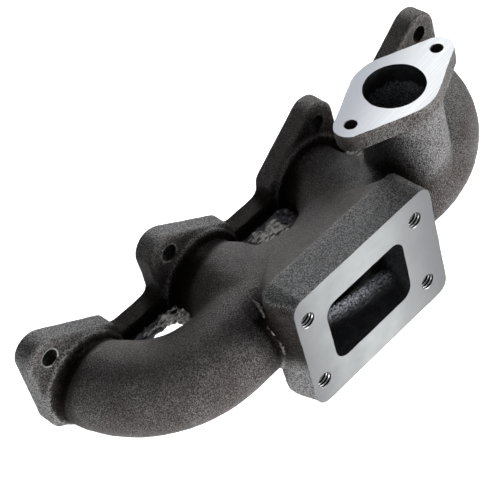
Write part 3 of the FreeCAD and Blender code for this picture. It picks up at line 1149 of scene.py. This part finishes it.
    def finish_faces(self) -> None:
        """Give each face its finish by where it lies, and shade the cast skin smooth."""
        mesh = self.piece.data
        mesh.materials.clear()
        # The near-black finishes for the webs and the holes are painted shade.
        for finish in (SandCastIron(), MilledIron(), GroundIron(), PassageIron(), DrilledIron(),
                       TornIron(), TornIron("web_shade_iron", "#030202", "#47484c"),
                       DrilledIron("scraped_iron", "#868686", "#b4b4b4", 0.1),
                       DrilledIron("hole_shade_iron", "#050404", "#3d3835", 0.0, 0.05)):
            mesh.materials.append(finish.material())
        middles, normals = rows_of(mesh.polygons, "center"), rows_of(mesh.polygons, "normal")
        x, y, z = middles.T
        finish = np.full(len(middles), Finish.SAND_CAST, np.int32)
        finish[self.inside(middles)] = Finish.PASSAGE
        turbine, gate = self.machining.plane("turbine_face"), self.machining.plane("gate_face")
        finish[(abs(y - turbine) < FLAT) & (normals[:, 1] < -0.99)] = Finish.MILLED
        finish[(abs(z - gate) < FLAT) & (normals[:, 2] > 0.99)] = Finish.GROUND
        finish[abs(y) < FLAT] = Finish.MILLED
        # Painted shade: the webs in the windows take the near-black web finish.
        web = (abs(z - self.web_level) < 5.2 * MM) & (y < -14.5 * MM) & (y > -38.5 * MM)
        finish[web & self.in_window(x)] = Finish.BURNT
        for hole in self.machining.holes():
            self.finish_hole(hole, middles, finish)
        mesh.polygons.foreach_set("material_index", finish)
        mesh.polygons.foreach_set("use_smooth", [True] * len(middles))
        self.mark_skin()
        alone(self.piece)
        bpy.ops.object.shade_smooth_by_angle(angle=math.radians(self.sharp_angle))
        mesh.polygons.foreach_set("use_smooth", ~np.isin(finish, (Finish.MILLED, Finish.GROUND)))
        mesh.update()

    def finish_hole(self, hole: Hole, middles: Rows, finish: Rows) -> None:
        """Give the faces of one hole their finishes.

        Args:
            hole: the hole.
            middles: the middle of each face of the casting.
            finish: each face's finish, which is changed in place.
        """
        along = (middles - np.array(hole.mouth)) @ np.array(hole.inward)
        foot = np.array(hole.mouth) + along[:, None] * np.array(hole.inward)
        reach = np.linalg.norm(middles - foot, axis=1)
        within = (reach < hole.radius + hole.rim + 0.05 * MM) & (along > FLAT) \
            & (along < hole.depth + (-FLAT if hole.through else 0.5 * MM))
        rim = along < hole.rim / RIM_SLOPE + 0.15 * MM
        land = reach < hole.radius + 0.30 * MM
        # Painted shade: each hole's walls and thread grooves take the near-black hole finish.
        finish[within] = Finish.SOOTED
        if hole.through:
            finish[within & rim] = Finish.SCRAPED if hole.mouth.x < 0 else Finish.SAND_CAST
        elif hole.inward.z < -0.5:
            finish[within & rim] = Finish.DRILLED
        else:
            finish[within & (rim | land)] = Finish.DRILLED

    def mark_skin(self) -> None:
        """Store each of the SKIN_MARKS on the skin, for the sand-cast finish."""
        points, normals = points_of(self.piece), self.normals()
        hollow, both, count = self.hollowness(points)
        arris = np.clip((-hollow * MM - self.arris_from) / self.arris_span, 0, 1)
        for _ in range(2):
            arris = 0.5 * arris + 0.5 * np.bincount(both[:, 0], arris[both[:, 1]],
                                                    len(points)) / count
        x, y, z = points.T
        crest = self.lip_crest(points)
        arris = np.maximum(arris * (1 - 0.5 * self.near_lip(points)), crest)
        neck = rise(14, 30, z) * rise(34, 42, x) * (y < -20 * MM)
        below_gate = z < 58 * MM
        end = Band(-64, -61, -55, -53).share(x) * fall(-80, -76, y)
        low = fall(-14, 2, z)
        top = (rise(22, 27, z) * fall(-81.4, -80.6, y) * (x < 55 * MM)
               * (1 - 0.5 * rise(0, 50, x)) * ease(0.35, 0.85, normals[:, 2]))
        flange = rise(-16, -13, y)
        between = np.minimum(abs(abs(x + self.port_pitch / 2) - self.port_pitch / 2),
                             abs(x - self.port_pitch))
        straps = flange * fall(12, 19, between)
        open_way = np.clip(np.maximum(normals[:, 2], -normals[:, 0]), 0, 1)
        pads = flange * (1 - straps) * ease(0.5, 0.8, open_way) * (x < 0)
        # Painted light: tops, the lower end, up or left facing pads, the neck, the ridge crest.
        painted_light = np.maximum.reduce([top, end * low, self.ridge(points, self.ridge_crest),
                                  self.pads_painted_light * pads, self.neck_painted_light * neck * below_gate])
        sunk = np.linalg.norm(self.groove(points), axis=1) / self.groove_deep
        second = (abs(x + self.port_pitch / 2) < 34 * MM) & (abs(y + 12 * MM) < 3 * MM)
        third = abs(x - self.port_pitch / 2) < 34 * MM
        in_groove = np.where(x < -90 * MM, self.first_groove_painted_shade, self.groove_painted_shade)
        # Painted shade: upper end, straps, pad faces, grooves and the runners' lee sides.
        painted_shade = np.maximum.reduce([
            self.end_painted_shade * end * (1 - low) * (1 - top), self.strap_painted_shade * straps,
            self.second_painted_shade * second, self.third_painted_shade * flange * third, in_groove * sunk,
            self.lee_painted_shade * self.lee(points, normals)])
        painted_shade *= 1 - np.maximum(self.arris_clears * arris * (1 - straps) * (1 - end), crest)
        coarse = np.maximum(neck * np.where(below_gate, self.neck_coarse, self.gate_coarse),
                            self.end_coarse * end * low)
        for name, values in zip(SKIN_MARKS, (arris, coarse, painted_light, painted_shade)):
            layer = self.piece.data.attributes.new(name, "FLOAT", "POINT")
            layer.data.foreach_set("value", values.astype(np.float32))

    # Zones of the skin

    def near_lip(self, points: Rows) -> Rows:
        """How much each point belongs to a lip, from 0 to 1."""
        reach = self.reaches(points)
        return (Band(20, 21, 29.5, 31).share(reach) * rise(-18, -16, points[:, 1])).max(0)

    def lip_crest(self, points: Rows) -> Rows:
        """Find the narrow crest of each lip.

        Args:
            points: the places on the skin.

        Returns:
            How much each point lies on a crest, from 0 to 1.
        """
        out = points[:, 1] - (self.lip_place - self.lip_tube)
        ring = Band(26.4, 27.0, 28.0, 28.6).share(self.reaches(points))
        return (ring * Band(-1.2, -0.4, 1.6, 2.2).share(out)).max(0)

    def reaches(self, points: Rows) -> Rows:
        """How far each point lies from each port's axis, one row a port."""
        return np.array([np.hypot(points[:, 0] - x, points[:, 2]) for x in self.ports()])

    def near_block(self, points: Rows) -> Rows:
        """How much each point belongs to the turbine block or the gate flange, from 0 to 1."""
        y, z = points[:, 1], points[:, 2]
        return np.maximum(fall(-78, -74, y) * (z < self.block_top), rise(57, 59, z))

    def lee(self, points: Rows, normals: Rows) -> Rows:
        """How much each point lies on the side of a runner that its pad shelters, from 0 to 1."""
        near = (self.reaches(points) < 30 * MM).any(0)
        return (near * np.clip(-normals[:, 0] * 1.3, 0, 1)
                * Band(-36, -20, -15, -13.5).share(points[:, 1]))

    def in_window(self, x: Rows) -> Rows:
        """Which places lie between two neighbouring runners, clear of both."""
        return (abs(abs(x) - self.port_pitch) < 12 * MM) | (abs(x) < 16 * MM)

    def inside(self, middles: Rows) -> Rows:
        """Which faces lie in the gas passages.

        Args:
            middles: the middle of each face.

        Returns:
            One truth value a face.
        """
        x, y, z = middles.T
        slack, lip = 0.8 * MM, 0.1 * MM
        turbine, gate = self.machining.plane("turbine_face"), self.machining.plane("gate_face")
        within = (np.hypot(y + self.log_out, z) < self.log_bore + slack) \
            & (abs(x) < self.log_reach)
        for port, turning in zip(self.ports(), self.bends):
            bore = (self.log_bore if turning else self.branch_bore) + slack
            run, bend = turning or (self.log_out, 0.0)
            within |= (np.hypot(x - port, z) < bore) & (y > -run) & (y < -lip)
            if turning:
                hand = math.copysign(1, port)
                out = x - (port - hand * bend)
                ring = np.hypot(out, y + run) - bend
                within |= (hand * out > 0) & (y < -run) & (np.hypot(ring, z) < bore)
        middle = self.machining.mount("gate_bolts")["pos_m"]
        within |= (np.hypot(x - middle[0], y - middle[1]) < self.gate_bore) \
            & (z > 0) & (z < gate - lip)
        middle = self.machining.mount("turbine_bolts")["pos_m"]
        wide, tall = self.mouth_half
        within |= (abs(x - middle[0]) < wide) & (abs(z) < tall) & (y > turbine + lip) \
            & (y < self.mouth_back)
        return within


@dataclass
class Flash:
    """A torn web of iron that ran into the parting line across one window of the casting."""

    name: str
    outline: Pairs
    torn: Pairs
    low: float = -5.0
    high: float = -0.8
    voxel: float = 0.7
    crumbs: Pairs = ((5.0, 2.6), (1.8, 1.6))
    piece: Piece = None

    def build(self) -> Piece:
        """Shape the web from a disc, then crumble it.

        Returns:
            The web.
        """
        self.piece = primitive("circle", vertices=len(self.outline), radius=10 * MM,
                               fill_type="NGON")
        self.piece.name = self.name
        corners = [(x * MM, y * MM, self.low * MM) for x, y in self.outline]
        set_points(self.piece, np.array(corners))
        with editing(self.piece):
            bpy.ops.mesh.extrude_region_move(
                TRANSFORM_OT_translate={"value": (0, 0, (self.high - self.low) * MM)})
            bpy.ops.mesh.select_all(action="SELECT")
            bpy.ops.mesh.normals_make_consistent(inside=False)
        draw_skin(self.piece, self.voxel * MM)
        roughen(self.piece, self.crumbs, 2)
        self.dress()
        return self.piece

    def dress(self) -> None:
        """Give the torn edge its bright finish, and the rest the near-black painted shade."""
        mesh = self.piece.data
        mesh.materials.clear()
        mesh.materials.append(bpy.data.materials["web_shade_iron"])
        mesh.materials.append(bpy.data.materials["torn_iron"])
        for face in mesh.polygons:
            # Painted shade: faces that look down, and all outside the torn patch, take the dark
            # finish.
            face.material_index = int(face.normal.z > -0.2 and self.is_torn(face.center))
            face.use_smooth = True

    def is_torn(self, place: Vector) -> bool:
        """Tell whether a place lies in the torn patch, by counting the sides it looks across.

        Args:
            place: a place on the web.

        Returns:
            True inside the patch.
        """
        x, y = place.x / MM, place.y / MM
        crossed = 0
        for (ax, ay), (bx, by) in zip(self.torn, self.torn[1:] + self.torn[:1]):
            if (ay > y) != (by > y) and x < ax + (y - ay) / (by - ay) * (bx - ax):
                crossed += 1
        return crossed % 2 == 1


@dataclass
class Seam:
    """The torn ridge where the core box of the turbine block met that of the log."""

    name: str = "seam_ridge"
    place: Triple = (-58.2, -64.0, 0.0)
    radius: float = 25.3
    tube: float = 1.05
    front: float = 3.0
    high_cut: float = 24.5
    low_cut: float = -1.0
    lean: float = 4.5
    swell: float = 1.5
    voxel: float = 0.5
    crumbs: Pairs = ((4.0, 2.4), (1.5, 1.6))

    def build(self) -> Piece:
        """Shape the ridge from a ring, keep its open front and crumble it.

        Returns:
            The ridge.
        """
        piece = primitive("torus", location=[k * MM for k in self.place],
                          rotation=(0, math.pi / 2, 0), major_segments=80, minor_segments=10,
                          major_radius=self.radius * MM, minor_radius=self.tube * MM)
        piece.name = self.name
        with editing(piece):
            for place, normal in (((0, self.place[1] - self.front, 0), (0, 1, 0)),
                                  ((0, 0, self.high_cut), (0, 0, 1)),
                                  ((0, 0, self.low_cut), (0, 0, -1))):
                bpy.ops.mesh.select_all(action="SELECT")
                bpy.ops.mesh.bisect(plane_co=[k * MM for k in place], plane_no=normal,
                                    use_fill=True, clear_outer=True)
        draw_skin(piece, self.voxel * MM)
        points = points_of(piece)
        points[:, 0] += self.lean * MM * rise(17, 25, points[:, 2])
        points[:, 1] -= self.swell * MM * fall(8, 20, points[:, 2])
        set_points(piece, points)
        roughen(piece, self.crumbs, 2, 0.55)
        piece.data.materials.clear()
        piece.data.materials.append(TornIron("bruised_iron", "#1a1817", "#6e6a67").material())
        piece.data.polygons.foreach_set("use_smooth", [True] * len(piece.data.polygons))
        return piece


# The studio

@dataclass(frozen=True)
class Studio:
    """A white sweep, soft lamps and the camera.

    Each lamp has a name, the way from the object to it, its power in watts and its side in metres.
    """

    azimuth: float = -33.22
    elevation: float = 45.03
    roll: float = 17.04
    distance: float = 1.0314
    aim: Triple = (-5.2, -11.0, -12.0)
    lens: float = 131.27
    sensor: float = 36.0
    shift: tuple[float, float] = (-0.0056, -0.0110)
    floor_drop: float = 550 * MM
    floor_size: float = 8.0
    ambient: float = 0.01
    lamp_distance: float = 1.2
    lamps: tuple[tuple[str, Triple, float, float], ...] = (
        ("behind", (0.58, 0.78, 0.24), 8.0, 0.5),
        ("low_left", (-0.72, -0.55, -0.42), 16.0, 0.5),
        ("right", (0.60, -0.79, 0.05), 14.0, 0.5),
        ("above", (0.0, 0.2, 1.0), 0.9, 0.8))

    def camera(self) -> None:
        """Set up the camera at the photograph's viewing angle."""
        a, e = math.radians(self.azimuth), math.radians(self.elevation)
        back = Vector((math.sin(a) * math.cos(e), -math.cos(a) * math.cos(e), math.sin(e)))
        level = Vector((0, 0, 1)).cross(back).normalized()
        upright = back.cross(level)
        roll = math.radians(self.roll)
        up = upright * math.cos(roll) + level * math.sin(roll)
        right = up.cross(back)
        data = bpy.data.cameras.new("camera")
        data.lens, data.sensor_width = self.lens, self.sensor
        data.shift_x, data.shift_y = self.shift
        data.clip_start, data.clip_end = 0.05, 20.0
        camera = bpy.data.objects.new("camera", data)
        bpy.context.scene.collection.objects.link(camera)
        place = Vector(self.aim) * MM + back * self.distance
        turn = Matrix((right, up, back)).transposed().to_4x4()
        camera.matrix_world = Matrix.Translation(place) @ turn
        bpy.context.scene.camera = camera

    def lamp(self, name: str, way: Triple, power: float, size: float) -> None:
        """Add a square soft lamp that faces the object.

        Args:
            name: its name.
            way: the way from the object to the lamp.
            power: its power in watts.
            size: its side in metres.
        """
        data = bpy.data.lights.new(name, "AREA")
        data.energy, data.size = power, size
        lamp = bpy.data.objects.new(name, data)
        bpy.context.scene.collection.objects.link(lamp)
        toward = Vector(way).normalized()
        lamp.location = toward * self.lamp_distance
        lamp.rotation_euler = toward.to_track_quat("Z", "Y").to_euler()

    def seen(self, add: Adder) -> tuple[Socket, Socket]:
        """Tell the rays that see the studio from those that only light the object.

        Args:
            add: adds a node to the tree.

        Returns:
            A socket that is 1 for camera rays, and one that is 1 for camera and mirror rays.
        """
        direct = add("LightPath", output="Is Camera Ray")
        mirror = add("LightPath", output="Is Glossy Ray")
        return direct, add("Math", {0: direct, 1: mirror}, operation="MAXIMUM")

    def floor(self, low: float) -> None:
        """Lay the pale floor, which shows white to the camera and still takes the shadow.

        Args:
            low: the object's lowest height.
        """
        floor = primitive("plane", size=self.floor_size, location=(0, 0, low - self.floor_drop))
        floor.name = "floor"
        material, add = new_material("white_sweep")
        direct, seen = self.seen(add)
        paint = add("BsdfDiffuse", {"Color": linear("#f4f4f4")})
        bright = add("MapRange", {"Value": direct, "To Min": 0.45, "To Max": 0.95})
        glow = add("Emission", {"Color": linear("#ffffff"), "Strength": bright})
        lit = add("AddShader", {0: paint, 1: glow})
        shown = add("MixShader", {0: seen, 1: paint, 2: lit})
        add("OutputMaterial", {"Surface": shown})
        floor.data.materials.append(material)

    def world(self) -> None:
        """Fill the room with faint even light, and show white behind the object."""
        world = bpy.data.worlds.new("room")
        world.use_nodes = True
        world.node_tree.nodes.clear()
        add = partial(add_node, world.node_tree)
        strength = add("MapRange", {"Value": self.seen(add)[1], "To Min": self.ambient,
                                    "To Max": 1.0})
        back = add("Background", {"Color": linear("#ffffff"), "Strength": strength})
        add("OutputWorld", {"Surface": back})
        bpy.context.scene.world = world

    def build(self, low: float) -> None:
        """Set up the whole studio.

        Args:
            low: the object's lowest height.
        """
        self.camera()
        self.floor(low)
        self.world()
        for lamp in self.lamps:
            self.lamp(*lamp)
        bpy.context.scene.view_settings.view_transform = "Standard"


def main() -> None:
    """Load the frame, build the casting and the studio, and report."""
    logging.basicConfig(level=logging.INFO, format="%(message)s")
    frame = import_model()
    piece = Casting(frame["nodes"][NODE], Machining(frame["record"])).build()
    flashes = [
        Flash("flash_1_2", ((-98, -11), (-98, -16.5), (-90, -19), (-78, -20.5), (-75, -22),
                            (-72.5, -28.5), (-68, -31), (-63, -28), (-62, -11)),
              ((-96, -20), (-94, -16.5), (-84, -17.5), (-77, -14.5), (-71, -14.5), (-65, -24),
               (-66, -33), (-77, -31), (-78, -24))),
        Flash("flash_2_3", ((-16, -11), (-17, -22), (-11, -31), (-1, -36), (8, -38), (18, -36),
                            (22, -24), (18, -11)),
              ((-11, -16), (-4, -14.3), (0.2, -18), (6, -15.3), (10, -17), (9, -25), (12, -28.5),
               (8, -34), (3, -30), (-3, -28.5), (-8, -23.5))),
        Flash("flash_3_4", ((62, -11), (66, -18), (72, -25), (80, -27), (92, -26), (96, -11)),
              ((71.9, -15.6), (74.6, -16.1), (79.6, -23.3), (77.8, -26), (73.5, -25),
               (70.4, -17.9))),
    ]
    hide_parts(NODE)
    for part in [piece, Seam().build()] + [flash.build() for flash in flashes]:
        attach(part, BODY)
        LOG.info("%s: %d faces", part.name, len(part.data.polygons))
    Studio().build(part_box(NODE)[0].z)


if __name__ == "__main__":
    main()
